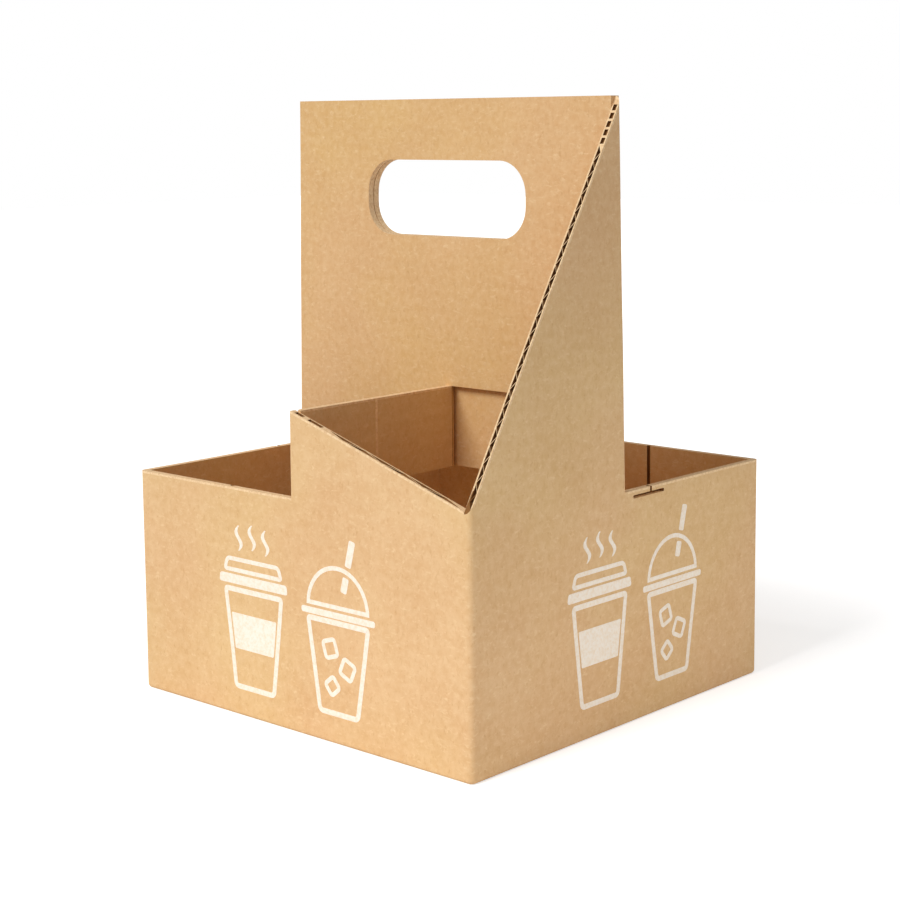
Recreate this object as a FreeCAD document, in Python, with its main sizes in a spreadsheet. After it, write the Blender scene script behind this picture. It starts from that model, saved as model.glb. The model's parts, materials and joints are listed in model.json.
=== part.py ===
import FreeCAD, Part
import os
import Sketcher

# Cup carrier for four paper cups, folded and glued from one die-cut sheet of
# corrugated board. The origin is the middle of its base, +Z points up, and X
# runs along the handle panel. All that is cut and folded for the front and
# right walls comes again, half a turn round Z, for the back and left walls.

# Name, size in millimetres, and what it sets.
SIZES = [
    ("outside_width", 190.0, "outside, left wall to right wall"),
    ("outside_depth", 190.0, "outside, front wall to back wall"),
    ("board_thickness", 3.0, "thickness of the corrugated board"),
    ("fold_radius", 2.6, "outer radius of an upright fold"),
    ("base_fold_radius", 1.8, "outer radius of the folds round the base"),
    ("low_wall_height", 96.0, "top of the low half of each wall"),
    ("corner_height", 102.0, "tall corner, where the gusset slope starts"),
    ("strap_top_height", 131.0, "top of the straps and of the wall steps"),
    ("handle_height", 253.0, "top of the handle panel"),
    ("handle_taper", 3.3, "lean of each handle end towards the middle"),
    ("layer_gap", 0.4, "seam between the two handle layers"),
    ("free_end_inset", 4.0, "free end of a layer, short of the other's fold"),
    ("glue_margin", 6.0, "glue line, in from the edges of the panel"),
    ("hand_hole_length", 90.0, "length of the hand hole"),
    ("hand_hole_width", 32.5, "height of the hand hole"),
    ("hand_hole_middle", 211.0, "middle of the hand hole above the base"),
    ("hand_hole_radius", 14.0, "corner radius of the hand hole"),
    ("glue_tab_length", 12.0, "tab at the end of a strap"),
    ("glue_tab_margin", 2.0, "tab's edges, in from the strap's and wall's"),
    ("slit_start", 3.6, "half-cut relief slit, from the handle fold"),
    ("slit_end", 24.7, "far end of the relief slit"),
    ("slit_drop", 3.4, "foot of the relief slit, below the wall's top"),
    ("slit_width", 1.4, "height of the relief slit"),
    ("nick_place", 15.6, "nick that crosses the slit, from the handle fold"),
    ("nick_width", 1.3, "width of the nick"),
    ("score_place", 38.0, "score line inside a wall, from its middle"),
    ("score_width", 1.8, "width of the score line"),
    ("score_depth", 1.2, "depth of the score line"),
    ("base_seam", 1.0, "seam where the two outer base flaps meet"),
    ("base_clearance", 1.0, "base flaps, clear of the walls beside them"),
    ("side_flap_reach", 58.0, "inner base flap, in from its wall"),
    ("side_flap_taper", 22.0, "cut-back of each corner of that flap"),
    ("flute_pitch", 6.4, "rise from one flute of the board to the next"),
    ("liner_thickness", 0.6, "paper skin on each face of the board"),
    ("fluting_thickness", 0.45, "wavy paper between the skins"),
    ("flute_depth", 4.0, "how deep the flutes are open behind a cut edge"),
]


class Size:
    """A length that keeps both its number and the formula bound to the sheet."""

    def __init__(self, number, formula):
        self.number = number
        self.formula = formula

    def __add__(self, other):
        other = as_size(other)
        return Size(self.number + other.number, f"({self.formula} + {other.formula})")

    def __sub__(self, other):
        other = as_size(other)
        return Size(self.number - other.number, f"({self.formula} - {other.formula})")

    def __mul__(self, other):
        other = as_size(other)
        return Size(self.number * other.number, f"({self.formula} * {other.formula})")

    def __truediv__(self, other):
        other = as_size(other)
        return Size(self.number / other.number, f"({self.formula} / {other.formula})")

    def __neg__(self):
        return as_size(0) - self


def as_size(value):
    """Take a plain number as a Size."""
    return value if isinstance(value, Size) else Size(float(value), f"{float(value):g}")


def vector(point):
    """A point or direction given as two or three sizes, as plain numbers."""
    return FreeCAD.Vector(*[value.number for value in point])


def make_sheet(document):
    """Write the driving dimensions into the document's spreadsheet."""
    sheet = document.addObject("Spreadsheet::Sheet", "Sizes")
    for row, (alias, value, meaning) in enumerate(SIZES, start=1):
        sheet.set(f"A{row}", meaning)
        sheet.set(f"B{row}", f"{value:g}")
        sheet.setAlias(f"B{row}", alias)
    document.recompute()
    return sheet


document = FreeCAD.newDocument("CupCarrier")
sheet = make_sheet(document)


def size(alias):
    """A driving dimension from the sheet."""
    return Size(float(sheet.get(alias)), f"{sheet.Name}.{alias}")


NOTHING = as_size(0)
BOARD = size("board_thickness")
FOLD = size("fold_radius")
HALF_WIDTH = size("outside_width") / 2
HALF_DEPTH = size("outside_depth") / 2
INNER_WIDTH = HALF_WIDTH - BOARD
INNER_DEPTH = HALF_DEPTH - BOARD
LOW = size("low_wall_height")
CORNER = size("corner_height")
STRAP_TOP = size("strap_top_height")
TOP = size("handle_height")
TAPER = size("handle_taper")
# The handle's two layers lie each side of the middle plane, this far off it.
LAYER_FACE = size("layer_gap") / 2
LAYER_BACK = LAYER_FACE + BOARD
# A cut through board starts and ends this far outside it.
CLEAR = BOARD / 2
# A half cut goes in from the right wall's outside and leaves its inner skin whole.
HALF_CUT = INNER_WIDTH + size("liner_thickness")
# Corner radius of the slit, as a share of its height, so that its ends are nearly round.
SLIT_ROUNDING = 0.45
# The two gaps of a flute, one on each side of the wave, take this many pitches.
FLUTE_REACH = 1.5
# Points closer than this, in millimetres, are one point.
SAME_POINT = 1e-4
# An edge lies on a line when its ends are this close to it, in millimetres.
ON_LINE = 0.05
# A cut smaller than this, in cubic millimetres, is no cut.
NO_CUT = 1e-3


def handle_inset(height):
    """How far the leaning ends of the handle have come in at a height."""
    return TAPER * (height - LOW) / (TOP - LOW)


def slope_of_wall(along):
    """Top edge of the tall half of the front wall, along from its middle."""
    return STRAP_TOP - (STRAP_TOP - CORNER) * along / HALF_WIDTH


body = document.addObject("PartDesign::Body", "Carrier")
body.Label = "carrier"


def origin_feature(role):
    """One of the body's own origin planes or axes."""
    return next(item for item in body.Origin.OriginFeatures if item.Role == role)


def pin_point(sketch, geometry, point, x, y):
    """Hold a point of the sketch at two sizes from its origin."""
    for kind, value in (("DistanceX", x), ("DistanceY", y)):
        index = sketch.addConstraint(
            Sketcher.Constraint(kind, -1, 1, geometry, point, value.number)
        )
        sketch.setExpression(f"Constraints[{index}]", value.formula)


def towards(start, end, distance):
    """The point at a distance from start, along an upright or level side."""
    (x0, y0), (x1, y1) = start, end
    if abs(x1.number - x0.number) > abs(y1.number - y0.number):
        return (x0 + distance, y0) if x1.number > x0.number else (x0 - distance, y0)
    return (x0, y0 + distance) if y1.number > y0.number else (x0, y0 - distance)


def draw_arc(sketch, corner, start, end, radius):
    """Round off a square corner, from one of its sides to the next."""
    middle = vector(start) + vector(end) - vector(corner)
    halfway = middle + (vector(corner) - middle).normalize() * radius.number
    arc = Part.Arc(vector(start), halfway, vector(end))
    index = sketch.addGeometry(arc, False)
    begins = (sketch.Geometry[index].StartPoint - vector(start)).Length < SAME_POINT
    pin_point(sketch, index, 1 if begins else 2, *start)
    pin_point(sketch, index, 2 if begins else 1, *end)
    held = sketch.addConstraint(Sketcher.Constraint("Radius", index, radius.number))
    sketch.setExpression(f"Constraints[{held}]", radius.formula)


def draw_outline(sketch, corners):
    """Draw a closed outline. A corner is (x, y) or, where it is round, (x, y, radius)."""
    stops = []
    for index, corner in enumerate(corners):
        place = corner[:2]
        if len(corner) == 2:
            stops.append((place, place))
            continue
        before = corners[index - 1][:2]
        after = corners[(index + 1) % len(corners)][:2]
        start = towards(place, before, corner[2])
        end = towards(place, after, corner[2])
        draw_arc(sketch, place, start, end, corner[2])
        stops.append((start, end))
    for index, (_, leaves) in enumerate(stops):
        arrives = stops[(index + 1) % len(stops)][0]
        added = sketch.addGeometry(Part.LineSegment(vector(leaves), vector(arrives)), False)
        pin_point(sketch, added, 1, *leaves)
        pin_point(sketch, added, 2, *arrives)


def make_sketch(name, plane, outlines, offset):
    """A sketch of closed outlines, moved off an origin plane along its normal."""
    sketch = body.newObject("Sketcher::SketchObject", name)
    sketch.AttachmentSupport = [(origin_feature(plane), "")]
    sketch.MapMode = "FlatFace"
    sketch.AttachmentOffset = FreeCAD.Placement(
        FreeCAD.Vector(0, 0, offset.number), FreeCAD.Rotation()
    )
    sketch.setExpression("AttachmentOffset.Base.z", offset.formula)
    for outline in outlines:
        draw_outline(sketch, outline)
    sketch.Visibility = False
    return sketch


def add_board(name, plane, outlines, offset, thickness):
    """Pad outlines by a thickness: up, forwards or to the right of their plane."""
    pad = body.newObject("PartDesign::Pad", name)
    pad.Profile = make_sketch(f"{name}Sketch", plane, outlines, offset)
    pad.setExpression("Length", thickness.formula)
    document.recompute()
    return pad


def cut_board(name, plane, outlines, offset, thickness):
    """Cut outlines away over a depth: up, forwards or to the right of their plane."""
    pocket = body.newObject("PartDesign::Pocket", name)
    pocket.Profile = make_sketch(f"{name}Sketch", plane, outlines, offset)
    pocket.Reversed = True
    pocket.setExpression("Length", thickness.formula)
    document.recompute()
    return pocket


def rectangle(left, low, right, high, radius=None):
    """Corners of an upright rectangle, round where a radius is given."""
    rounding = () if radius is None else (radius,)
    return [
        (left, low) + rounding,
        (right, low) + rounding,
        (right, high) + rounding,
        (left, high) + rounding,
    ]


def make_walls():
    """The four walls up to the height of their low halves."""
    outside = rectangle(-HALF_WIDTH, -HALF_DEPTH, HALF_WIDTH, HALF_DEPTH, FOLD)
    inside = rectangle(-INNER_WIDTH, -INNER_DEPTH, INNER_WIDTH, INNER_DEPTH)
    return add_board("Walls", "XY_Plane", [outside, inside], NOTHING, LOW)


def make_gusset_and_layer():
    """The right gusset and the front handle layer, one strip bent at the fold."""

    def section(end):
        free_end = -(end - size("free_end_inset"))
        return [
            (free_end, -LAYER_BACK),
            (end - BOARD, -LAYER_BACK),
            (end - BOARD, -HALF_DEPTH),
            (end, -HALF_DEPTH, FOLD),
            (end, -LAYER_FACE, FOLD),
            (free_end, -LAYER_FACE),
        ]

    foot = make_sketch("StripFootSketch", "XY_Plane", [section(HALF_WIDTH)], LOW)
    head = make_sketch("StripHeadSketch", "XY_Plane", [section(HALF_WIDTH - TAPER)], TOP)
    strip = body.newObject("PartDesign::AdditiveLoft", "Strip")
    strip.Profile = foot
    strip.Sections = [(head, [""])]
    strip.Ruled = True
    document.recompute()
    return strip


def cut_gusset_slope():
    """The sloping edge of the gusset, from the tall corner to the handle's top."""
    above = [
        (-HALF_DEPTH, CORNER),
        (NOTHING, TOP),
        (NOTHING, TOP + BOARD),
        (-(HALF_DEPTH + BOARD), TOP + BOARD),
        (-(HALF_DEPTH + BOARD), CORNER),
    ]
    start = INNER_WIDTH - TAPER
    return cut_board("GussetSlope", "YZ_Plane", [above], start, BOARD + TAPER + CLEAR)


def cut_window():
    """The gap below the front layer that the strap was cut and folded out of."""
    opening = [
        (NOTHING, LOW - CLEAR),
        (INNER_WIDTH, LOW - CLEAR),
        (INNER_WIDTH - handle_inset(STRAP_TOP), STRAP_TOP),
        (NOTHING, STRAP_TOP),
    ]
    return cut_board("Window", "XZ_Plane", [opening], LAYER_FACE, BOARD)


def make_tall_wall():
    """The tall half of the front wall, from its step down to the corner."""
    half = [
        (NOTHING, LOW),
        (INNER_WIDTH, LOW),
        (INNER_WIDTH, slope_of_wall(INNER_WIDTH)),
        (NOTHING, STRAP_TOP),
    ]
    return add_board("TallWall", "XZ_Plane", [half], INNER_DEPTH, BOARD)


def make_strap():
    """The strap from the handle to the front wall, folded at both ends."""
    section = [
        (NOTHING, -INNER_DEPTH, FOLD),
        (BOARD, -INNER_DEPTH),
        (BOARD, -LAYER_FACE, FOLD),
        (NOTHING, -LAYER_FACE),
    ]
    return add_board("Strap", "XY_Plane", [section], LOW, STRAP_TOP - LOW)


def make_glue_tab():
    """The tab at the strap's end, glued inside the tall half of the wall."""
    margin = size("glue_tab_margin")
    far = BOARD + size("glue_tab_length")
    tab = [
        (BOARD, LOW),
        (far, LOW + margin),
        (far, slope_of_wall(far) - margin),
        (BOARD, slope_of_wall(BOARD) - margin),
    ]
    return add_board("GlueTab", "XZ_Plane", [tab], INNER_DEPTH - BOARD, BOARD)


def make_outer_base_flap():
    """The flap folded in from the front wall's foot, to the middle of the base."""
    side = INNER_WIDTH - size("base_clearance")
    flap = rectangle(-side, -INNER_DEPTH, side, -size("base_seam") / 2)
    return add_board("OuterBaseFlap", "XY_Plane", [flap], NOTHING, BOARD)


def make_inner_base_flap():
    """The shorter flap from the right wall, lying on the outer ones."""
    side = INNER_DEPTH - size("base_clearance")
    tip = side - size("side_flap_taper")
    reach = INNER_WIDTH - size("side_flap_reach")
    flap = [(INNER_WIDTH, -side), (INNER_WIDTH, side), (reach, tip), (reach, -tip)]
    return add_board("InnerBaseFlap", "XY_Plane", [flap], BOARD, BOARD)


def cut_relief_slit():
    """The half cut that eases the handle's fold, below the top of the right wall."""
    foot = LOW - size("slit_drop")
    height = size("slit_width")
    slot = rectangle(
        size("slit_start"), foot, size("slit_end"), foot + height, height * SLIT_ROUNDING
    )
    return cut_board("ReliefSlit", "YZ_Plane", [slot], HALF_CUT, BOARD + CLEAR)


def cut_nick():
    """The half-cut nick from the right wall's top edge down into the slit."""
    half = size("nick_width") / 2
    place = size("nick_place")
    nick = rectangle(place - half, LOW - size("slit_drop"), place + half, LOW + CLEAR)
    return cut_board("Nick", "YZ_Plane", [nick], HALF_CUT, BOARD + CLEAR)


def cut_score():
    """A score line pressed into the inside of the front wall's low half."""
    half = size("score_width") / 2
    place = -size("score_place")
    line = rectangle(place - half, BOARD * 2, place + half, LOW + CLEAR)
    return cut_board("Score", "XZ_Plane", [line], INNER_DEPTH, size("score_depth"))


def flute_section(face, inwards, foot):
    """The two gaps of one flute, each side of the wavy paper between the skins."""
    pitch = size("flute_pitch")
    paper = size("fluting_thickness")
    outer = face + size("liner_thickness") * inwards
    inner = face + (BOARD - size("liner_thickness")) * inwards
    near_outer = [
        (outer, foot + paper),
        (outer, foot + pitch - paper),
        (inner, foot + pitch / 2),
    ]
    near_inner = [
        (inner, foot + pitch / 2 + paper),
        (inner, foot + pitch * FLUTE_REACH - paper),
        (outer, foot + pitch),
    ]
    return [near_outer, near_inner]


def guide_on_edge(solid, start, end):
    """The straight cut edge that runs between two points, as a pattern's guide."""
    origin = vector(start)
    line = (vector(end) - origin).normalize()
    for number, edge in enumerate(solid.Shape.Edges, start=1):
        off_line = [(point.Point - origin).cross(line).Length for point in edge.Vertexes]
        if max(off_line) < ON_LINE and isinstance(edge.Curve, Part.Line):
            return (solid, [f"Edge{number}"]), edge.Curve.Direction
    raise RuntimeError("the cut edge that the flutes open on isn't there")


def guide_on_lean():
    """A line that leans as the handle's ends do, as a pattern's guide."""
    foot = (HALF_WIDTH, LOW)
    head = (HALF_WIDTH - TAPER, TOP)
    sketch = make_sketch("LeanSketch", "XZ_Plane", [], NOTHING)
    index = sketch.addGeometry(Part.LineSegment(vector(foot), vector(head)), True)
    pin_point(sketch, index, 1, *foot)
    pin_point(sketch, index, 2, *head)
    direction = vector((-TAPER, NOTHING, TOP - LOW)).normalize()
    return (sketch, ["Axis0"]), direction


def repeat_flutes(name, flute, guide, foot, ceiling):
    """Repeat one flute up a cut edge as far as a ceiling, and all half a turn round."""
    reference, direction = guide
    pitch = size("flute_pitch")
    count = int((ceiling.number - foot.number) / pitch.number + 1 - FLUTE_REACH)
    upwards = body.newObject("PartDesign::LinearPattern", f"{name}Upwards")
    upwards.Direction = reference
    upwards.Reversed = direction.z < 0
    upwards.Occurrences = count
    upwards.setExpression("Length", (pitch * (count - 1) / abs(direction.z)).formula)
    turned = body.newObject("PartDesign::PolarPattern", f"{name}Turned")
    turned.Axis = (origin_feature("Z_Axis"), [""])
    turned.Angle = 360
    turned.Occurrences = 2
    flutes = body.newObject("PartDesign::MultiTransform", name)
    flutes.Originals = [flute]
    flutes.Transformations = [upwards, turned]
    body.Tip = flutes
    document.recompute()
    solid = flute.BaseFeature.Shape
    one = solid.Volume - flute.Shape.Volume
    if abs(solid.Volume - flutes.Shape.Volume - one * count * 2) > one / 2:
        raise RuntimeError(f"{name} aren't all there")


def gusset_edge(height):
    """Distance of the gusset's sloping edge from the handle, at a height."""
    return HALF_DEPTH * (TOP - height) / (TOP - CORNER)


def wall_edge(height):
    """Distance of the tall wall's sloping edge from its step, at a height."""
    return HALF_WIDTH * (STRAP_TOP - height) / (STRAP_TOP - CORNER)


def open_gusset_flutes():
    """Flutes open on the gussets' sloping edges."""
    foot = LOW + size("liner_thickness") + size("flute_pitch")
    head = foot + size("flute_pitch") * FLUTE_REACH
    deep = gusset_edge(head) - size("flute_depth")
    section = flute_section(HALF_WIDTH - handle_inset(foot), -1, foot)
    length = gusset_edge(foot) + CLEAR - deep
    flute = cut_board("GussetFlute", "XZ_Plane", section, deep, length)
    start = (HALF_WIDTH - handle_inset(CORNER), -HALF_DEPTH, CORNER)
    end = (HALF_WIDTH - TAPER, NOTHING, TOP)
    crushed = LAYER_BACK + CLEAR + size("flute_depth")
    ceiling = TOP - crushed * (TOP - CORNER) / HALF_DEPTH
    guide = guide_on_edge(flute.BaseFeature, start, end)
    repeat_flutes("GussetFlutes", flute, guide, foot, ceiling)


def open_layer_flutes():
    """Flutes open on the free ends of the handle's layers."""
    foot = LOW + size("liner_thickness")
    head = foot + size("flute_pitch") * FLUTE_REACH
    end = HALF_WIDTH - size("free_end_inset")
    deep = end - handle_inset(head) - size("flute_depth")
    section = flute_section(LAYER_BACK, -1, foot)
    length = end - handle_inset(foot) + size("free_end_inset") / 2 - deep
    flute = cut_board("LayerFlute", "YZ_Plane", section, deep, length)
    repeat_flutes("LayerFlutes", flute, guide_on_lean(), foot, TOP)


def open_wall_flutes():
    """Flutes open on the sloping edges and the steps of the tall walls."""
    pitch = size("flute_pitch")
    depth = size("flute_depth")
    foot = LOW + size("liner_thickness") + pitch
    deep = wall_edge(foot + pitch * FLUTE_REACH) - depth
    section = flute_section(-HALF_DEPTH, 1, foot)
    length = wall_edge(foot) - deep + CLEAR / 2
    flute = cut_board("SlopeFlute", "YZ_Plane", section, deep, length)
    step_top = (NOTHING, -HALF_DEPTH, STRAP_TOP)
    far = (INNER_WIDTH, -HALF_DEPTH, slope_of_wall(INNER_WIDTH))
    guide = guide_on_edge(flute.BaseFeature, step_top, far)
    ceiling = slope_of_wall(depth * 2 + CLEAR)
    repeat_flutes("SlopeFlutes", flute, guide, foot, ceiling)
    foot = LOW + size("liner_thickness")
    section = flute_section(-HALF_DEPTH, 1, foot)
    flute = cut_board("StepFlute", "YZ_Plane", section, -CLEAR, depth + CLEAR)
    step_foot = (NOTHING, -HALF_DEPTH, LOW)
    guide = guide_on_edge(flute.BaseFeature, step_foot, step_top)
    repeat_flutes("StepFlutes", flute, guide, foot, STRAP_TOP)


def repeat_half_a_turn(features):
    """Repeat features half a turn round the upright axis."""
    pattern = body.newObject("PartDesign::PolarPattern", "HalfTurn")
    pattern.Originals = features
    pattern.Axis = (origin_feature("Z_Axis"), [""])
    pattern.Angle = 360
    pattern.Occurrences = 2
    body.Tip = pattern
    document.recompute()
    return pattern


def glue_layers():
    """The glue between the handle's two layers, clear of every cut edge."""
    margin = size("glue_margin")
    half_hole = size("hand_hole_length") / 2 + margin
    middle = size("hand_hole_middle")
    half_height = size("hand_hole_width") / 2 + margin
    side = INNER_WIDTH - TAPER - margin
    spread = rectangle(-side, STRAP_TOP + margin, side, TOP - margin)
    bare = rectangle(-half_hole, middle - half_height, half_hole, middle + half_height)
    return add_board("Glue", "XZ_Plane", [spread, bare], -LAYER_FACE, LAYER_FACE * 2)


def cut_hand_hole():
    """The hand hole through both layers."""
    half = size("hand_hole_length") / 2
    middle = size("hand_hole_middle")
    half_height = size("hand_hole_width") / 2
    hole = rectangle(
        -half, middle - half_height, half, middle + half_height, size("hand_hole_radius")
    )
    start = -(LAYER_BACK + CLEAR)
    return cut_board("HandHole", "XZ_Plane", [hole], start, (LAYER_BACK + CLEAR) * 2)


def round_base():
    """Round the folds round the base, all on its lowest outer edge."""
    base = body.Tip
    names = []
    for index, edge in enumerate(base.Shape.Edges, start=1):
        box = edge.BoundBox
        lowest = abs(box.ZMax) < SAME_POINT
        outer_x = abs(max(abs(box.XMin), abs(box.XMax)) - HALF_WIDTH.number) < SAME_POINT
        outer_y = abs(max(abs(box.YMin), abs(box.YMax)) - HALF_DEPTH.number) < SAME_POINT
        if lowest and (outer_x or outer_y):
            names.append(f"Edge{index}")
    fillet = body.newObject("PartDesign::Fillet", "BaseFolds")
    fillet.Base = (base, names)
    fillet.setExpression("Radius", size("base_fold_radius").formula)
    document.recompute()
    return fillet


def build():
    """Model the folded sheet."""
    make_walls()
    repeat_half_a_turn([
        make_gusset_and_layer(),
        cut_gusset_slope(),
        cut_window(),
        make_tall_wall(),
        make_strap(),
        make_glue_tab(),
        make_outer_base_flap(),
        make_inner_base_flap(),
        cut_relief_slit(),
        cut_nick(),
        cut_score(),
    ])
    glue_layers()
    cut_hand_hole()
    round_base()
    open_gusset_flutes()
    open_layer_flutes()
    open_wall_flutes()


def check():
    """Stop if a feature failed, a cut took nothing away or the solid is bad."""
    for item in document.Objects:
        if {"Invalid", "Error"} & set(item.State):
            raise RuntimeError(f"{item.Label} failed: {item.State}")
        if item.TypeId == "PartDesign::Pocket":
            if item.Shape.Volume >= item.BaseFeature.Shape.Volume - NO_CUT:
                raise RuntimeError(f"{item.Label} cuts nothing")
    shape = body.Shape
    if shape.isNull() or not shape.isValid() or len(shape.Solids) != 1:
        raise RuntimeError("the carrier isn't one valid solid")


build()
document.recompute()
check()
os.makedirs("parts", exist_ok=True)
body.Shape.exportStep("parts/carrier.step")
print(f"carrier: {body.Shape.Volume / 1000:.1f} cubic centimetres of board")
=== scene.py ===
import json
import math
import random

import bpy
from bpy.props import FloatProperty, FloatVectorProperty, IntProperty, PointerProperty
from mathutils import Euler, Matrix, Vector

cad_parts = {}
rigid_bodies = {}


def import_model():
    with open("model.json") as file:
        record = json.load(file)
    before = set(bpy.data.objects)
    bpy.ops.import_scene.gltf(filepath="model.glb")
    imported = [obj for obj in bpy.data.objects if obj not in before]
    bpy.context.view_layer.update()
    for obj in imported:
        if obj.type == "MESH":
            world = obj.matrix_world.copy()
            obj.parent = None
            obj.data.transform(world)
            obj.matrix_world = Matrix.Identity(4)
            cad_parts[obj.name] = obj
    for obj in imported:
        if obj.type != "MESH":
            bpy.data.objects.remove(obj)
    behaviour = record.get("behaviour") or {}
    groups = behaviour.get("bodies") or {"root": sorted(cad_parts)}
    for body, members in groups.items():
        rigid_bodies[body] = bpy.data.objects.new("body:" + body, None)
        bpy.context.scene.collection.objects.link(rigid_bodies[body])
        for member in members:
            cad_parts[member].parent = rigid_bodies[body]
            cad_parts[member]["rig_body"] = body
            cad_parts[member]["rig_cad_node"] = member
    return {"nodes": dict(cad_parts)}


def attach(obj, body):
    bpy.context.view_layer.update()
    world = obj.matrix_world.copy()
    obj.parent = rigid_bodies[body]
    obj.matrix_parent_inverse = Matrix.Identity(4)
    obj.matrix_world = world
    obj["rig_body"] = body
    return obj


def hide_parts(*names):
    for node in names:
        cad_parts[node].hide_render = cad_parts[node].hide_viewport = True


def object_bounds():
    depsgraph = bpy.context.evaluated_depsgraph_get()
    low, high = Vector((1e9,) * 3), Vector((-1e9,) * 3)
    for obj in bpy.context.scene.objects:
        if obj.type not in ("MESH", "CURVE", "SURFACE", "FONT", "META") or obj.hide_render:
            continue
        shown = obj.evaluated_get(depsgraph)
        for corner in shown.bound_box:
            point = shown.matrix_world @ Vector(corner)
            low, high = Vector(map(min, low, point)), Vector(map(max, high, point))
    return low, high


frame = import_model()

# Looks of a folded carrier for four takeaway cups, made of corrugated kraft board.
# All is in metres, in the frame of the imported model: +Z up, X along the handle.

bl_info = {
    "name": "Cardboard cup carrier",
    "version": (1, 0, 0),
    "blender": (4, 5, 0),
    "location": "3D View > Sidebar > Cup carrier",
    "description": "Dresses the cup carrier's board and prints, and sets up its stage",
    "category": "Object",
}

CAD_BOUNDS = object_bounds()
MM = 0.001


def linear(hex_colour):
    """Turn an sRGB hex colour into the linear numbers that Blender mixes light in."""
    values = [int(hex_colour[place:place + 2], 16) / 255 for place in (1, 3, 5)]
    return tuple(
        value / 12.92 if value <= 0.04045 else ((value + 0.055) / 1.055) ** 2.4
        for value in values
    )


def colour_property(name, description, hex_colour):
    """A colour that a user would change."""
    return FloatVectorProperty(
        name=name, description=description, default=linear(hex_colour),
        size=3, min=0, max=1, subtype="COLOR",
    )


def length_property(name, description, millimetres):
    """A length that a user would change."""
    return FloatProperty(
        name=name, description=description, default=millimetres * MM,
        subtype="DISTANCE", unit="LENGTH",
    )


class CARRIER_PG_board(bpy.types.PropertyGroup):
    """Sizes and colours of the folded board."""

    cell: length_property("Cell", "Grid that the flat board is divided in, to bend", 10)
    wall_bow: length_property("Wall bow", "Most that a wall bows in", 0.8)
    handle_bow: length_property("Handle bow", "Most that the handle bows either way", 0.9)
    seed: IntProperty(name="Seed", description="Which set of bows is drawn", default=4)
    flute_pitch: length_property("Flute pitch", "From one flute to the next", 6.4)
    liner: colour_property("Liner", "Brown kraft paper of the outer skins", "#e4bf8a")
    liner_dark: colour_property("Dark pulp", "Darker clouds and fibres in it", "#c8935c")
    liner_light: colour_property("Light pulp", "Lighter clouds and fibres in it", "#f6d8aa")
    liner_red: colour_property("Red pulp", "Redder stretches of it", "#e4b58c")
    # Browner than the outer liner: partly the real inner skin, partly painted shade for the
    # warm, saturated shade inside the cells.
    inner: colour_property("Inner liner", "Browner kraft of the inner skins", "#e2b87c")
    edge: colour_property("Cut edge", "Raw paper where the board is cut", "#fbdcb0")
    fluting: colour_property("Fluting", "Wavy paper inside the board", "#96673a")


class CARRIER_PG_print(bpy.types.PropertyGroup):
    """Sizes and colours of the prints on two walls."""

    line: length_property("Line", "Width of a drawn line", 1.8)
    film: length_property("Ink film", "Ink's thickness, drawn thicker than it is", 0.05)
    ink: colour_property("Ink", "Cream white ink on kraft", "#fff4e5")
    ink_thin: colour_property("Thin ink", "Ink where the kraft shows through", "#f6dfc0")


class CARRIER_PG_stage(bpy.types.PropertyGroup):
    """Sizes, colours and light of the stage."""

    reach: FloatProperty(
        name="Floor", description="Half the floor's side", default=4,
        subtype="DISTANCE", unit="LENGTH",
    )
    floor: colour_property("Floor", "Matt white floor", "#f4f4f4")
    ambient: FloatProperty(name="Ambient", description="Light from all round", default=0.38)
    sun: FloatProperty(name="Key light", description="Strength of the sun lamp", default=1.95)
    right: FloatProperty(
        name="Right strip", description="Power of the low lamp on the right", default=0.09,
        subtype="POWER", unit="POWER",
    )
    front: FloatProperty(
        name="Front strip", description="Power of the low lamp in front", default=0.04,
        subtype="POWER", unit="POWER",
    )
    lens: FloatProperty(name="Lens", description="Focal length", default=75.16, unit="CAMERA")


def pick(*pieces):
    """Select pieces alone, in object mode, the first one active."""
    if bpy.context.object and bpy.context.object.mode != "OBJECT":
        bpy.ops.object.mode_set(mode="OBJECT")
    bpy.ops.object.select_all(action="DESELECT")
    for piece in pieces:
        piece.select_set(True)
    bpy.context.view_layer.objects.active = pieces[0]


def edit(piece):
    """Go into edit mode with the whole piece selected."""
    pick(piece)
    bpy.ops.object.mode_set(mode="EDIT")
    bpy.ops.mesh.select_all(action="SELECT")


def leave_edit():
    """Go back to object mode."""
    bpy.ops.object.mode_set(mode="OBJECT")


def finish_modifier(piece, kind, **settings):
    """Add a modifier, set it and apply it."""
    pick(piece)
    bpy.ops.object.modifier_add(type=kind)
    modifier = piece.modifiers[-1]
    for name, value in settings.items():
        setattr(modifier, name, value)
    bpy.ops.object.modifier_apply(modifier=modifier.name)


def bisect(point, normal):
    """Cut the selected faces along a plane through a point."""
    bpy.ops.mesh.bisect(plane_co=point, plane_no=normal, threshold=0.01 * MM)


def divide(piece, axis, places):
    """Cut all faces along planes across an axis, so that they can bend there."""
    edit(piece)
    normal = [0, 0, 0]
    normal[axis] = 1
    for place in places:
        point = [0, 0, 0]
        point[axis] = place
        bpy.ops.mesh.select_all(action="SELECT")
        bisect(point, normal)
    leave_edit()


def steps(low, high, step):
    """Whole multiples of a step between two places."""
    first = math.ceil(low / step)
    last = math.floor(high / step)
    return [number * step for number in range(first, last + 1)]


def add_node(tree, kind, inputs=None, **settings):
    """Add a node with its settings. Each input is a value or another node's output."""
    node = tree.nodes.new(kind)
    for name, value in settings.items():
        setattr(node, name, value)
    for socket, value in (inputs or {}).items():
        if isinstance(value, bpy.types.NodeSocket):
            tree.links.new(value, node.inputs[socket])
        else:
            node.inputs[socket].default_value = value
    return node


def new_material(name):
    """An empty material and its node tree."""
    material = bpy.data.materials.new(name)
    material.use_nodes = True
    material.node_tree.nodes.clear()
    return material, material.node_tree


def opaque(colour):
    """A colour with its alpha."""
    return (*colour, 1.0)


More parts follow.
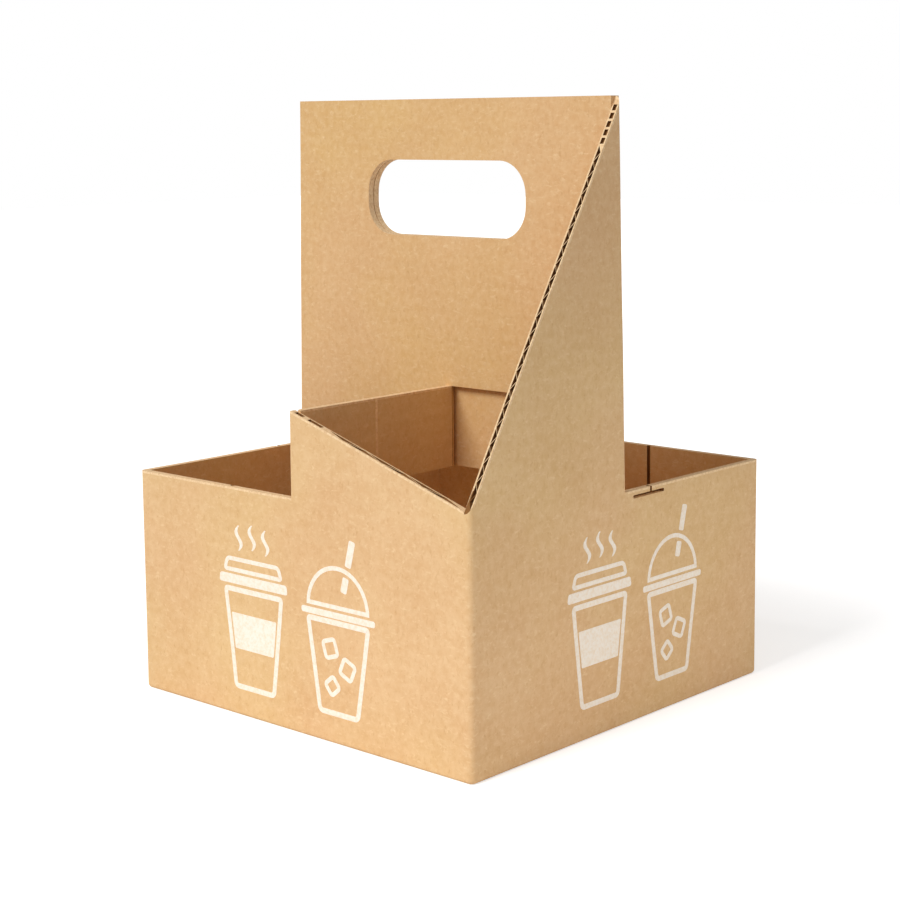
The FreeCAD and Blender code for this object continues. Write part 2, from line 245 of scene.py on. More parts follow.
# Kraft liner is unbleached brown paper, pressed and left uncoated: matt, with a cloudy
# tone, darker and lighter fibres, and the flutes under it just telling as level bands.
def make_kraft_liner(settings, name, tone):
    material, tree = new_material(name)
    place = add_node(tree, "ShaderNodeTexCoord").outputs["Object"]
    along = add_node(tree, "ShaderNodeMapping", {
        "Vector": place, "Scale": (1.0, 1.0, 0.55), "Rotation": (0.5, 0.4, 0.3),
    }).outputs["Vector"]
    across = add_node(tree, "ShaderNodeMapping", {
        "Vector": place, "Scale": (0.5, 0.5, 1.0), "Rotation": (0.3, -0.35, 0.2),
    }).outputs["Vector"]
    # Each pattern's place, size in millimetres, detail, roughness and twist. Clouds in the
    # pulp are about 30 mm across, stretches of redder pulp 90 mm, and mottle from the felt
    # it dried on 3 mm. Fibres are 0.03 mm thick and 2 mm long. They are drawn 1 mm thick,
    # to show, and a twist turns them all ways.
    sources = {
        "clouds": (place, 30, 3.0, 0.55, 0.0),
        "stretches": (place, 90, 2.0, 0.5, 0.0),
        "mottle": (place, 3, 4.0, 0.62, 0.0),
        "dark fibres": (along, 1.1, 2.0, 0.5, 0.8),
        "light fibres": (across, 1.2, 2.0, 0.5, 0.8),
    }
    patterns = {}
    for source, (vector, size, detail, rough, twist) in sources.items():
        patterns[source] = add_node(tree, "ShaderNodeTexNoise", {
            "Vector": vector, "Scale": 1 / (size * MM), "Detail": detail,
            "Roughness": rough, "Distortion": twist,
        }).outputs["Fac"]
    # Bands show at the real pitch of the flutes. Wave's bands repeat every 2 pi / 20.
    patterns["bands"] = add_node(tree, "ShaderNodeTexWave", {
        "Vector": place, "Scale": math.tau / 20 / settings.flute_pitch,
        "Distortion": 0.6, "Detail": 1.0, "Detail Scale": 1.0,
    }, wave_type="BANDS", bands_direction="Z").outputs["Fac"]
    # Each layer's pattern, the range of it that counts, the most it covers and its pulp.
    layers = (
        ("stretches", 0.4, 0.6, 0.45, settings.liner_red),
        ("clouds", 0.3, 0.7, 0.26, settings.liner_dark),
        ("mottle", 0.35, 0.68, 0.3, settings.liner_light),
        ("light fibres", 0.56, 0.78, 0.5, settings.liner_light),
        ("dark fibres", 0.58, 0.78, 0.42, settings.liner_dark),
        ("bands", 0.0, 1.0, 0.05, settings.liner_dark),
    )
    colour = opaque(tone)
    for pattern, low, high, most, pulp in layers:
        amount = add_node(tree, "ShaderNodeMapRange", {
            "Value": patterns[pattern], "From Min": low, "From Max": high,
            "To Min": 0.0, "To Max": most,
        }).outputs["Result"]
        colour = add_node(tree, "ShaderNodeMix", {
            0: amount, 6: colour, 7: opaque(pulp),
        }, data_type="RGBA").outputs[2]
    roughness = add_node(tree, "ShaderNodeMapRange", {
        "Value": patterns["mottle"], "From Min": 0.3, "From Max": 0.7,
        "To Min": 0.92, "To Max": 0.78,
    }).outputs["Result"]
    washboard = add_node(tree, "ShaderNodeBump", {
        "Height": patterns["bands"], "Strength": 0.5, "Distance": 0.02 * MM,
    }).outputs["Normal"]
    grain = add_node(tree, "ShaderNodeBump", {
        "Height": patterns["dark fibres"], "Normal": washboard,
        "Strength": 0.35, "Distance": 0.12 * MM,
    }).outputs["Normal"]
    shader = add_node(tree, "ShaderNodeBsdfPrincipled", {
        "Base Color": colour, "Roughness": roughness, "Normal": grain,
        "IOR": 1.45, "Specular IOR Level": 0.3,
    }).outputs["BSDF"]
    add_node(tree, "ShaderNodeOutputMaterial", {"Surface": shader})
    return material


# A die cut leaves raw paper, paler than the pressed face and furred with torn fibres.
def make_cut_edge(settings):
    material, tree = new_material("kraft_cut_edge")
    place = add_node(tree, "ShaderNodeTexCoord").outputs["Object"]
    fur = add_node(tree, "ShaderNodeTexNoise", {
        "Vector": place, "Scale": 1 / (1.2 * MM), "Detail": 3.0, "Roughness": 0.6,
    }).outputs["Fac"]
    amount = add_node(tree, "ShaderNodeMapRange", {
        "Value": fur, "From Min": 0.35, "From Max": 0.7, "To Min": 0.0, "To Max": 0.55,
    }).outputs["Result"]
    colour = add_node(tree, "ShaderNodeMix", {
        0: amount, 6: opaque(settings.edge), 7: opaque(settings.liner_dark),
    }, data_type="RGBA").outputs[2]
    bump = add_node(tree, "ShaderNodeBump", {
        "Height": fur, "Strength": 0.5, "Distance": 0.2 * MM,
    }).outputs["Normal"]
    shader = add_node(tree, "ShaderNodeBsdfPrincipled", {
        "Base Color": colour, "Roughness": 0.95, "Normal": bump,
        "IOR": 1.45, "Specular IOR Level": 0.2,
    }).outputs["BSDF"]
    add_node(tree, "ShaderNodeOutputMaterial", {"Surface": shader})
    return material


# Fluting medium is recycled pulp, browner and duller than the liners round it.
def make_fluting(settings):
    material, tree = new_material("kraft_fluting_medium")
    place = add_node(tree, "ShaderNodeTexCoord").outputs["Object"]
    pulp = add_node(tree, "ShaderNodeTexNoise", {
        "Vector": place, "Scale": 1 / (2 * MM), "Detail": 3.0, "Roughness": 0.6,
    }).outputs["Fac"]
    darker = [tone * 0.7 for tone in settings.fluting]
    colour = add_node(tree, "ShaderNodeMix", {
        0: pulp, 6: opaque(settings.fluting), 7: opaque(darker),
    }, data_type="RGBA").outputs[2]
    shader = add_node(tree, "ShaderNodeBsdfPrincipled", {
        "Base Color": colour, "Roughness": 0.95,
        "IOR": 1.45, "Specular IOR Level": 0.2,
    }).outputs["BSDF"]
    add_node(tree, "ShaderNodeOutputMaterial", {"Surface": shader})
    return material


# Water-based ink, flexo printed: a thin matt film that the paper's tone shows through.
def make_ink(settings):
    material, tree = new_material("water_based_ink")
    place = add_node(tree, "ShaderNodeTexCoord").outputs["Object"]
    cover = add_node(tree, "ShaderNodeTexNoise", {
        "Vector": place, "Scale": 1 / (1.4 * MM), "Detail": 4.0, "Roughness": 0.65,
    }).outputs["Fac"]
    amount = add_node(tree, "ShaderNodeMapRange", {
        "Value": cover, "From Min": 0.42, "From Max": 0.72, "To Min": 0.0, "To Max": 0.8,
    }).outputs["Result"]
    colour = add_node(tree, "ShaderNodeMix", {
        0: amount, 6: opaque(settings.ink), 7: opaque(settings.ink_thin),
    }, data_type="RGBA").outputs[2]
    bump = add_node(tree, "ShaderNodeBump", {
        "Height": cover, "Strength": 0.25, "Distance": 0.1 * MM,
    }).outputs["Normal"]
    shader = add_node(tree, "ShaderNodeBsdfPrincipled", {
        "Base Color": colour, "Roughness": 0.8, "Normal": bump,
        "IOR": 1.45, "Specular IOR Level": 0.3,
    }).outputs["BSDF"]
    add_node(tree, "ShaderNodeOutputMaterial", {"Surface": shader})
    return material


# Slots of the board's materials.
# The inner slot's browner liner is partly painted shade for the inside of the cells.
LINER, EDGE, FLUTING, INNER_AND_SHADE = 0, 1, 2, 3

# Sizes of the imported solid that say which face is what, in millimetres. SIDE is half the
# base's width. LOW, STRAP_TOP, CORNER and TOP are heights: of the low walls, of the straps
# and steps, of the corner where two cut edges meet, and of the handle. The handle's ends
# lean in by TAPER. Its layers lie SEAM from its middle, and each stops FREE_END short of
# the other's fold. Under BASE there is only the base.
SIDE = 95.0
BOARD = 3.0
LINER_THICKNESS = 0.6
LOW = 96.0
STRAP_TOP = 131.0
CORNER = 102.0
TOP = 253.0
TAPER = 3.3
SEAM = 0.2
FREE_END = 4.0
BASE = 10.0
HOLE_MIDDLE = 211.0
HOLE_HALF_LENGTH = 45.0
HOLE_HALF_HEIGHT = 16.25
STEP_SLOPE = math.atan((STRAP_TOP - CORNER) / SIDE)
GUSSET_SLOPE = math.atan((TOP - CORNER) / SIDE)
# The die crushes the liner beside a cut, and a band this wide below the cut is painted in the
# pale cut-edge colour: partly crushed paper, partly a painted highlight of the rounded edge.
RIM = 0.9
# The straps have a crease this far from the handle. It is painted as a pale line in the
# cut-edge colour, a painted highlight, as the crease has no fold in the board.
CREASE = 49.0
CREASE_WIDTH = 1.3
# Flutes lie level in the walls, so a sloping cut opens one every half pitch. The solid's
# flutes stop short of the handle's fold and of the step, and nips go on from them. Each
# stretch has its lowest place, its number of nips and where they end at the latest.
HALF_PITCH = 3.2
NIP_HEIGHT = 2.3
NIP_DEPTH = 1.2
NIPS_BY_FOLD = (234.4, 5, TOP)
NIPS_BY_STEP = (125.9, 2, STRAP_TOP - LINER_THICKNESS)
# A place may be out by SLACK and still count, or by FINE where it is exact. A face is on a
# cut edge where it is within CUT_CLEAR of it.
SLACK = 0.1
FINE = 0.05
CUT_CLEAR = 0.06
# A normal has more than FACING along the axis that it faces. A cut edge's has more than
# SLOPING upright, and an upright face's less than UPRIGHT.
FACING = 0.9
SLOPING = 0.3
UPRIGHT = 0.1


def lean_in(z):
    """How far the gussets and the handle's ends lean in at a height."""
    return max(0.0, TAPER * (z - LOW) / (TOP - LOW))


def in_end_wall(y):
    """Whether a place is in the front or back wall's board."""
    return abs(y) > SIDE - BOARD - SLACK


def in_strap(x, y):
    """Whether a place is in line with the straps, and clear of the handle's layers."""
    return abs(x) < BOARD + SLACK and abs(y) > SEAM + BOARD + SLACK


def in_layer(y, z, slack):
    """Whether a place is in the handle's two layers."""
    return abs(y) < SEAM + BOARD + slack and z > LOW - SLACK


def below_cut(x, y, z):
    """How far a place in a wall or strap lies below its cut edge."""
    if in_end_wall(y):
        along = -x if y > 0 else x
        if along < 0:
            return LOW - z
        height = STRAP_TOP - (STRAP_TOP - CORNER) * along / SIDE
        return (height - z) * math.cos(STEP_SLOPE)
    if abs(x) > SIDE - TAPER - BOARD - SLACK:
        along = y if x > 0 else -y
        if along > 0:
            return LOW - z
        height = TOP + (TOP - CORNER) * along / SIDE
        return (height - z) * math.cos(GUSSET_SLOPE)
    return STRAP_TOP - z if in_strap(x, y) else math.inf


def divide_rims(board):
    """Cut the skin where a rim ends, and at both sides of the straps' creases."""
    divide(board, 2, [(LOW - RIM) * MM, (STRAP_TOP - RIM) * MM])
    near, far = ((CREASE + side * CREASE_WIDTH / 2) * MM for side in (-1, 1))
    divide(board, 1, [-far, -near, near, far])
    rise, run = math.cos(STEP_SLOPE), math.sin(STEP_SLOPE)
    gusset_rise, gusset_run = math.cos(GUSSET_SLOPE), math.sin(GUSSET_SLOPE)
    edit(board)
    for side in (-1, 1):
        bpy.ops.mesh.select_all(action="SELECT")
        bisect((0, 0, (STRAP_TOP - RIM / rise) * MM), (side * run, 0, rise))
        bpy.ops.mesh.select_all(action="SELECT")
        bisect((0, 0, (TOP - RIM / gusset_rise) * MM), (0, side * gusset_run, gusset_rise))
    leave_edit()


def nip_heights(foot, count, ceiling):
    """Lowest and highest place of each nip in a stretch."""
    feet = [foot + HALF_PITCH * number for number in range(count)]
    return [(low, min(low + NIP_HEIGHT, ceiling)) for low in feet]


def on_nipped_edge(face, nips_alone=False):
    """Whether a face is on a stretch of cut edge that gets nips, or where a nip will be.
    A stretch starts half a pitch under its lowest nip and ends 1 mm above its highest."""
    x, y, z = (value / MM for value in face.center)
    if abs(face.normal[2]) < SLOPING or abs(below_cut(x, y, z)) > CUT_CLEAR:
        return False
    if in_end_wall(y):
        depth = SIDE - abs(y)
        heights = nip_heights(*NIPS_BY_STEP)
    else:
        depth = SIDE - lean_in(z) - abs(x)
        heights = nip_heights(*NIPS_BY_FOLD)
    if nips_alone:
        in_middle = LINER_THICKNESS < depth < BOARD - LINER_THICKNESS
        return in_middle and any(low < z < high for low, high in heights)
    return 0 < depth < BOARD and heights[0][0] - HALF_PITCH < z < heights[-1][1] + 1


def select_faces(piece, test):
    """Go into edit mode with only the faces selected that pass a test."""
    edit(piece)
    bpy.ops.mesh.select_mode(type="FACE")
    bpy.ops.mesh.select_all(action="DESELECT")
    leave_edit()
    for face in piece.data.polygons:
        face.select = test(face)
    bpy.ops.object.mode_set(mode="EDIT")


def nip_edges(board):
    """Nip the cut edges where the solid's flutes stop short of a fold or the step."""
    planes = []
    for side in (-1, 1):
        for depth in (LINER_THICKNESS, BOARD - LINER_THICKNESS):
            place = side * (SIDE - depth) * MM
            planes.append(((0, place, 0), (0, 1, 0)))
            planes.append(((place, 0, LOW * MM), (side, 0, TAPER / (TOP - LOW))))
    for low, high in nip_heights(*NIPS_BY_FOLD) + nip_heights(*NIPS_BY_STEP):
        planes.append(((0, 0, low * MM), (0, 0, 1)))
        planes.append(((0, 0, high * MM), (0, 0, 1)))
    for point, normal in planes:
        select_faces(board, on_nipped_edge)
        bisect(point, normal)
        leave_edit()
    select_faces(board, lambda face: on_nipped_edge(face, nips_alone=True))
    bpy.ops.mesh.extrude_region_shrink_fatten(
        TRANSFORM_OT_shrink_fatten={"value": -NIP_DEPTH * MM}
    )
    bpy.ops.mesh.select_mode(type="VERT")
    leave_edit()


def liner_of(point, normal):
    """Which of the board's two liners a face shows. The handle's layers are folded in and all
    take the browner inner liner, which on them is partly painted shade, and a strap shows
    both."""
    x, y, z = (value / MM for value in point)
    if in_strap(x, y) and z < STRAP_TOP:
        return INNER_AND_SHADE if normal[0] * y > 0 else LINER
    if in_layer(y, z, SLACK) and abs(x) < SIDE - TAPER - BOARD:
        return INNER_AND_SHADE
    if normal[2] > 0.5 and z < BASE:
        return INNER_AND_SHADE
    outwards = normal[0] * x if abs(normal[0]) > abs(normal[1]) else normal[1] * y
    return INNER_AND_SHADE if outwards < 0 else LINER


def on_rim(point, normal):
    """Whether a face is on a wall's outer rim, or on a strap's upper rim or crease. These
    take the pale cut-edge finish: on the rims partly crushed paper and partly a painted
    highlight, on the creases a painted highlight.
    """
    x, y, z = (value / MM for value in point)
    across, deep, up = (abs(value) for value in normal)
    if up < UPRIGHT and -FINE < below_cut(x, y, z) < RIM:
        if deep > FACING and abs(y) > SIDE - SLACK:
            return True
        if across > FACING and abs(x) > SIDE - SLACK - lean_in(z):
            return True
    on_strap = across > FACING and abs(x) < BOARD + SLACK and z < STRAP_TOP
    on_crease = abs(abs(y) - CREASE) < CREASE_WIDTH / 2
    on_upper_rim = in_strap(x, y) and abs(y) < SIDE - BOARD and z > STRAP_TOP - RIM
    return on_strap and (on_crease or on_upper_rim)


def on_upright_cut(point):
    """Whether a face across the handle's length is on its free ends or on the steps."""
    x, y, z = (value / MM for value in point)
    by_fold = abs(x) > SIDE - lean_in(z) - FREE_END - 2 * SLACK
    if in_layer(y, z, FINE) and by_fold and x * y > 0:
        return True
    return abs(x) < FINE and in_end_wall(y)


def depth_in_board(x, y, z):
    """How far a place is from the nearest skin of the board that it is in."""
    depths = []
    if abs(x) > SIDE - lean_in(z) - BOARD - SLACK:
        depths.append(SIDE - lean_in(z) - abs(x))
    if in_end_wall(y):
        depths.append(SIDE - abs(y))
    if in_layer(y, z, FINE):
        depths.append(abs(y) - SEAM)
    return min((min(depth, BOARD - depth) for depth in depths), default=0.0)


def finish_of(point, normal):
    """Which material a face of the flat, unbent board has, by its place and normal."""
    x, y, z = (value / MM for value in point)
    across, deep, up = (abs(value) for value in normal)
    liner = liner_of(point, normal)
    if z < BASE:
        in_well = max(abs(x), abs(y)) < SIDE - BOARD + SLACK
        return EDGE if in_well and up < 0.5 else liner
    below = below_cut(x, y, z)
    if up > SLOPING and abs(below) < CUT_CLEAR:
        return EDGE
    if up > SLOPING and CUT_CLEAR < below < NIP_DEPTH + CUT_CLEAR:
        return FLUTING
    # Pale rims, partly crushed paper and partly painted highlight, and creases, painted
    # highlight alone.
    if on_rim(point, normal):
        return EDGE
    # The round of an upright fold faces along neither axis.
    if min(across, deep) > UPRIGHT and up < 2 * UPRIGHT:
        return liner
    by_hole = abs(x) < HOLE_HALF_LENGTH + SLACK
    if in_layer(y, z, FINE) and by_hole and abs(z - HOLE_MIDDLE) < HOLE_HALF_HEIGHT + SLACK:
        return EDGE if deep < SLOPING else liner
    # What faces up is cut, but for the flutes' waves, which slant along one axis.
    slanted_wave = up < 0.95 and min(across, deep) < 0.01
    if up > SLOPING and not slanted_wave:
        return EDGE
    if across > FACING and on_upright_cut(point):
        return EDGE
    inside = depth_in_board(x, y, z) > LINER_THICKNESS - SLACK
    return FLUTING if inside else liner


def bow_board(board, settings):
    """Bow the board as folded sheets do, with a lattice. Walls only move inwards."""
    low, high = CAD_BOUNDS
    middle = [(a + b) / 2 for a, b in zip(low, high)]
    extent = [b - a for a, b in zip(low, high)]
    # The lattice's points are about 24 mm apart, and 25 mm upright.
    columns, rows, levels = 9, 9, 11
    bpy.ops.object.select_all(action="DESELECT")
    bpy.ops.object.add(type="LATTICE", location=middle)
    cage = bpy.context.object
    cage.scale = extent
    cage.data.points_u = columns
    cage.data.points_v = rows
    cage.data.points_w = levels
    chance = random.Random(settings.seed)
    for number, point in enumerate(cage.data.points):
        column = number % columns
        row = number // columns % rows
        level = number // (columns * rows)
        side_draw, end_draw, handle_draw = (chance.uniform(0, 1) for _ in range(3))
        at_side = column in (0, columns - 1)
        at_end = row in (0, rows - 1)
        at_handle = row == rows // 2
        move = Vector((0, 0, 0))
        if at_side and not at_end and not at_handle and level > 0:
            move.x = settings.wall_bow * side_draw * (1 if column == 0 else -1)
        if at_end and not at_side and level > 0:
            move.y = settings.wall_bow * end_draw * (1 if row == 0 else -1)
        if at_handle and not at_side and level > levels // 2:
            move.y = settings.handle_bow * (handle_draw * 2 - 1)
        point.co_deform = point.co + Vector([move[k] / extent[k] for k in range(3)])
    bpy.context.view_layer.update()
    finish_modifier(board, "LATTICE", object=cage)
    pick(cage)
    bpy.ops.object.delete()


class CARRIER_OT_board(bpy.types.Operator):
    """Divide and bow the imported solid's skin and give it liner, cut edges and fluting"""

    bl_idname = "carrier.board"
    bl_label = "Folded board"

    def execute(self, context):
        settings = context.scene.carrier_board
        pick(frame["nodes"]["carrier"])
        bpy.ops.object.duplicate()
        board = context.object
        board.name = "board"
        board.data.name = "board"
        bpy.ops.object.parent_clear(type="CLEAR_KEEP_TRANSFORM")
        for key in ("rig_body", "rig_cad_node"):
            del board[key]
        board.data.materials.clear()
        edit(board)
        bpy.ops.mesh.customdata_custom_splitnormals_clear()
        bpy.ops.mesh.remove_doubles(threshold=0.005 * MM)
        bpy.ops.mesh.dissolve_limited(angle_limit=math.radians(0.3))
        leave_edit()
        low, high = CAD_BOUNDS
        for axis in range(3):
            divide(board, axis, steps(low[axis] + MM, high[axis] - MM, settings.cell))
        divide_rims(board)
        nip_edges(board)
        finishes = (
            make_kraft_liner(settings, "kraft_outer_liner", settings.liner),
            make_cut_edge(settings),
            make_fluting(settings),
            # The inner liner is a browner copy of the outer one: partly the real inner skin,
            # partly painted shade for the cells' insides.
            make_kraft_liner(settings, "kraft_inner_liner_and_shade", settings.inner),
        )
        for material in finishes:
            board.data.materials.append(material)
        for face in board.data.polygons:
            face.material_index = finish_of(face.center, face.normal)
        bow_board(board, settings)
        pick(board)
        bpy.ops.object.shade_smooth_by_angle(angle=math.radians(30))
        finish_modifier(board, "WEIGHTED_NORMAL", keep_sharp=True)
        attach(board, "root")
        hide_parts("carrier")
        return {"FINISHED"}


def drawn_quad(middle, foot, head, height, radius=0.0, line=None, turn=0.0):
    """A tapered quad with rounded corners, solid or drawn as a line, in millimetres."""
    bpy.ops.object.select_all(action="DESELECT")
    bpy.ops.mesh.primitive_plane_add(size=1)
    shape = bpy.context.object
    for vertex in shape.data.vertices:
        wide = head if vertex.co.y > 0 else foot
        vertex.co = (vertex.co.x * wide, vertex.co.y * height, 0)
    edit(shape)
    if radius:
        bpy.ops.mesh.bevel(
            affect="VERTICES", offset=radius, offset_type="OFFSET", segments=5
        )
    if line:
        bpy.ops.mesh.select_all(action="SELECT")
        bpy.ops.mesh.inset(thickness=line, depth=0)
        bpy.ops.mesh.delete(type="FACE")
    leave_edit()
    shape.data.transform(
        Matrix.Translation((*middle, 0)) @ Matrix.Rotation(turn, 4, "Z")
    )
    return shape


def drawn_dome(middle, radius, line):
    """The upper half of a ring, closed along its foot, in millimetres."""
    bpy.ops.object.select_all(action="DESELECT")
    bpy.ops.mesh.primitive_circle_add(
        fill_type="NGON", vertices=48, radius=radius, location=(*middle, 0)
    )
    shape = bpy.context.object
    bpy.ops.object.transform_apply(location=True, rotation=True, scale=True)
    edit(shape)
    bpy.ops.mesh.bisect(plane_co=(*middle, 0), plane_no=(0, 1, 0), clear_inner=True)
    bpy.ops.mesh.select_all(action="SELECT")
    bpy.ops.mesh.inset(thickness=line, depth=0)
    bpy.ops.mesh.delete(type="FACE")
    leave_edit()
    return shape


def drawn_wave(foot, height, sway, line):
    """An upright wavy line that thins towards its ends, in millimetres."""
    bpy.ops.object.select_all(action="DESELECT")
    bpy.ops.mesh.primitive_grid_add(x_subdivisions=1, y_subdivisions=14, size=1)
    shape = bpy.context.object
    for vertex in shape.data.vertices:
        rise = vertex.co.y + 0.5
        lean = math.sin(rise * math.tau) * sway
        width = line * (0.35 + 0.65 * math.sin(math.pi * rise))
        vertex.co = (foot[0] + lean + vertex.co.x * width, foot[1] + rise * height, 0)
    return shape


def draw_cups(line):
    """Two cups in outline, hot and cold, as one flat drawing about 100 by 72 mm."""
    thick = line * 1.25
    steam = line * 1.3
    hot, cold = -24.0, 25.0
    straw_lean = math.radians(-14)
    # The sleeve stops short of the cup's lines, as parts of a one-colour print do.
    clear = 2 * (thick + 0.8)
    shapes = [
        # The hot cup's side, sleeve, rim and lid, and the steam above it.
        drawn_quad((hot, -12.5), 25, 36, 43, 2.5, thick),
        drawn_quad((hot, -9.5), 29.3 - clear, 33.2 - clear, 15, 0.6),
        drawn_quad((hot, 12.2), 41, 40, 4, 1.2),
        drawn_quad((hot, 18.4), 36, 32, 6.4, 2.2, line),
        drawn_wave((hot - 8, 24.5), 10.5, 1.5, steam),
        drawn_wave((hot, 25.5), 10.5, 1.5, steam),
        drawn_wave((hot + 8, 24.5), 10.5, 1.5, steam),
        # The cold cup's side, rim and dome, its straw over and in the dome, and its ice.
        drawn_quad((cold, -14.5), 23, 36, 39, 2.5, thick),
        drawn_quad((cold, 6.8), 41, 41, 2.6, 1.0),
        drawn_dome((cold, 9.2), 17.5, line),
        drawn_quad((cold + 7.3, 32.4), 3.4, 3.4, 11, 0.8, None, straw_lean),
        drawn_quad((cold + 4.1, 19.6), 3.4, 3.4, 6.4, 0.8, None, straw_lean),
        drawn_quad((cold - 4.5, -7), 8.5, 8.5, 8.5, 2.1, line, math.radians(18)),
        drawn_quad((cold + 5, -14), 8.5, 8.5, 8.5, 2.1, line, math.radians(-24)),
        drawn_quad((cold - 3.5, -22), 7.5, 7.5, 7.5, 2.1, line, math.radians(40)),
    ]
    pick(*shapes)
    bpy.ops.object.join()
    return bpy.context.object


class CARRIER_OT_prints(bpy.types.Operator):
    """Print a drawing of two cups on the front and right walls"""

    bl_idname = "carrier.prints"
    bl_label = "Prints"

    def execute(self, context):
        settings = context.scene.carrier_print
        cell = context.scene.carrier_board.cell
        board = bpy.data.objects["board"]
        ink = make_ink(settings)
        # Each print's name, its wall's turn in degrees and its middle, 2 mm off the wall,
        # in millimetres.
        walls = (
            ("front_print", 0.0, (0.0, -SIDE - 2, 45.5)),
            ("right_print", 90.0, (SIDE + 2, 6.0, 47.0)),
        )
        for name, turn, middle in walls:
            drawing = draw_cups(settings.line / MM)
            drawing.name = name
            drawing.data.name = name
            # Some of its faces point down, so all are turned up before they get thickness.
            for face in drawing.data.polygons:
                if face.normal.z < 0:
                    face.flip()
            stand = Euler((math.radians(90), 0, math.radians(turn))).to_matrix().to_4x4()
            drawing.data.transform(
                Matrix.Translation([value * MM for value in middle])
                @ stand @ Matrix.Scale(MM, 4)
            )
            # It is divided on the wall's own grid, to bend with it.
            in_front = turn == 0
            divide(drawing, 0 if in_front else 1, steps(-SIDE * MM, SIDE * MM, cell))
            divide(drawing, 2, steps(0, LOW * MM, cell))
            finish_modifier(
                drawing, "SHRINKWRAP", target=board, wrap_method="PROJECT",
                wrap_mode="ABOVE_SURFACE", use_project_x=not in_front,
                use_project_y=in_front, use_negative_direction=True,
                use_positive_direction=True, offset=0.02 * MM,
            )
            finish_modifier(drawing, "SOLIDIFY", thickness=settings.film, offset=1)
            drawing.data.materials.clear()
            drawing.data.materials.append(ink)
            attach(drawing, "root")
        return {"FINISHED"}


# Matt white paint on the floor. For the camera it glows a little, which keeps it white
# and leaves the carrier's soft shadow.
def make_floor_paint(settings):
    material, tree = new_material("matt_white_paint")
    diffuse = add_node(tree, "ShaderNodeBsdfDiffuse", {
        "Color": opaque(settings.floor), "Roughness": 0.5,
    }).outputs["BSDF"]
    seen = add_node(tree, "ShaderNodeLightPath").outputs["Is Camera Ray"]
    dark = add_node(tree, "ShaderNodeEmission", {"Strength": 0.0}).outputs["Emission"]
    glow = add_node(tree, "ShaderNodeEmission", {"Strength": 0.5}).outputs["Emission"]
    lift = add_node(tree, "ShaderNodeMixShader", {0: seen, 1: dark, 2: glow}).outputs[0]
    both = add_node(tree, "ShaderNodeAddShader", {0: diffuse, 1: lift}).outputs[0]
    add_node(tree, "ShaderNodeOutputMaterial", {"Surface": both})
    return material


def light_world(settings):
    """Even light from all round, seen as plain white."""
    world = bpy.data.worlds.new("studio")
    bpy.context.scene.world = world
    world.use_nodes = True
    tree = world.node_tree
    tree.nodes.clear()
    path = add_node(tree, "ShaderNodeLightPath").outputs
    shiny = add_node(tree, "ShaderNodeMath", {
        0: path["Is Camera Ray"], 1: path["Is Glossy Ray"],
    }, operation="MAXIMUM").outputs[0]
    seen = add_node(tree, "ShaderNodeMath", {
        0: shiny, 1: path["Is Transmission Ray"],
    }, operation="MAXIMUM").outputs[0]
    soft = add_node(tree, "ShaderNodeBackground", {
        "Color": (1, 1, 1, 1), "Strength": settings.ambient,
    }).outputs[0]
    white = add_node(tree, "ShaderNodeBackground", {
        "Color": (1, 1, 1, 1), "Strength": 1.0,
    }).outputs[0]
    both = add_node(tree, "ShaderNodeMixShader", {0: seen, 1: soft, 2: white}).outputs[0]
    add_node(tree, "ShaderNodeOutputWorld", {"Surface": both})


# The camera was fitted to the photo: its place, and how far it is turned, pitched down and
# rolled, in degrees.
CAMERA_PLACE = (0.5389, -0.5936, 0.2442)
CAMERA_TURN, CAMERA_PITCH, CAMERA_ROLL = 42.26, 7.29, -0.53


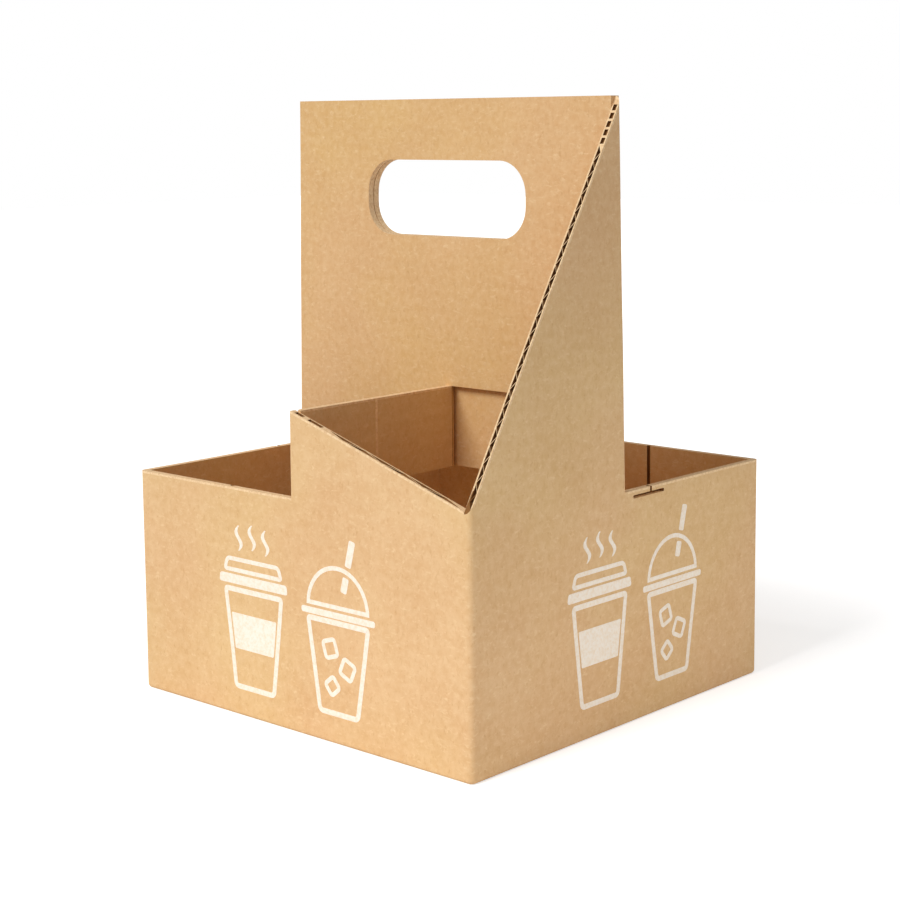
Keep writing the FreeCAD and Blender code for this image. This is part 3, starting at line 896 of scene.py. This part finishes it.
class CARRIER_OT_stage(bpy.types.Operator):
    """Set up the floor, light and camera"""

    bl_idname = "carrier.stage"
    bl_label = "Stage"

    def execute(self, context):
        settings = context.scene.carrier_stage
        bpy.ops.object.select_all(action="DESELECT")
        bpy.ops.mesh.primitive_plane_add(size=settings.reach * 2, location=(0, 0, 0))
        floor = context.object
        floor.name = "floor"
        floor.data.materials.append(make_floor_paint(settings))
        light_world(settings)
        towards_key = Vector((-0.15, -0.75, 0.65))
        bpy.ops.object.light_add(type="SUN", location=towards_key)
        key = context.object
        key.name = "key_light"
        key.rotation_euler = towards_key.to_track_quat("Z", "Y").to_euler()
        key.data.energy = settings.sun
        key.data.angle = math.radians(26)
        # Low strip lamps lift the feet of the two walls, as light from a table does. Each
        # lamp's name, place, width, height and power.
        lamps = (
            ("right_strip", (0.25, 0, 0.03), 0.4, 0.04, settings.right),
            ("front_strip", (0, -0.25, 0.03), 0.4, 0.04, settings.front),
        )
        for name, place, width, height, power in lamps:
            bpy.ops.object.light_add(type="AREA", location=place)
            lamp = context.object
            lamp.name = name
            level = Vector((place[0], place[1], 0))
            lamp.rotation_euler = level.to_track_quat("Z", "Y").to_euler()
            lamp.data.shape = "RECTANGLE"
            lamp.data.size = width
            lamp.data.size_y = height
            lamp.data.energy = power
            lamp.visible_camera = False
        bpy.ops.object.camera_add(location=CAMERA_PLACE)
        camera = context.object
        camera.name = "camera"
        turn = Matrix.Rotation(math.radians(CAMERA_TURN), 3, "Z")
        tilt = Matrix.Rotation(math.radians(90 - CAMERA_PITCH), 3, "X")
        roll = Matrix.Rotation(math.radians(CAMERA_ROLL), 3, "Z")
        camera.rotation_euler = (turn @ tilt @ roll).to_euler()
        camera.data.lens = settings.lens
        camera.data.sensor_width = 36
        camera.data.shift_y = -0.1
        camera.data.clip_start = 0.01
        context.scene.camera = camera
        context.scene.view_settings.view_transform = "Standard"
        return {"FINISHED"}


class CARRIER_PT_panel(bpy.types.Panel):
    """Lists the steps that dress the carrier"""

    bl_idname = "CARRIER_PT_panel"
    bl_label = "Cup carrier"
    bl_space_type = "VIEW_3D"
    bl_region_type = "UI"
    bl_category = "Cup carrier"

    def draw(self, context):
        steps_shown = (
            ("carrier.board", context.scene.carrier_board),
            ("carrier.prints", context.scene.carrier_print),
            ("carrier.stage", context.scene.carrier_stage),
        )
        for operator, settings in steps_shown:
            box = self.layout.box()
            for name in settings.__annotations__:
                box.prop(settings, name)
            box.operator(operator)


CLASSES = (
    CARRIER_PG_board,
    CARRIER_PG_print,
    CARRIER_PG_stage,
    CARRIER_OT_board,
    CARRIER_OT_prints,
    CARRIER_OT_stage,
    CARRIER_PT_panel,
)


def register():
    for item in CLASSES:
        bpy.utils.register_class(item)
    bpy.types.Scene.carrier_board = PointerProperty(type=CARRIER_PG_board)
    bpy.types.Scene.carrier_print = PointerProperty(type=CARRIER_PG_print)
    bpy.types.Scene.carrier_stage = PointerProperty(type=CARRIER_PG_stage)


def unregister():
    del bpy.types.Scene.carrier_stage
    del bpy.types.Scene.carrier_print
    del bpy.types.Scene.carrier_board
    for item in reversed(CLASSES):
        bpy.utils.unregister_class(item)


def main():
    """Dress the carrier and set up its stage."""
    register()
    bpy.ops.carrier.board()
    bpy.ops.carrier.prints()
    bpy.ops.carrier.stage()


if __name__ == "__main__":
    main()
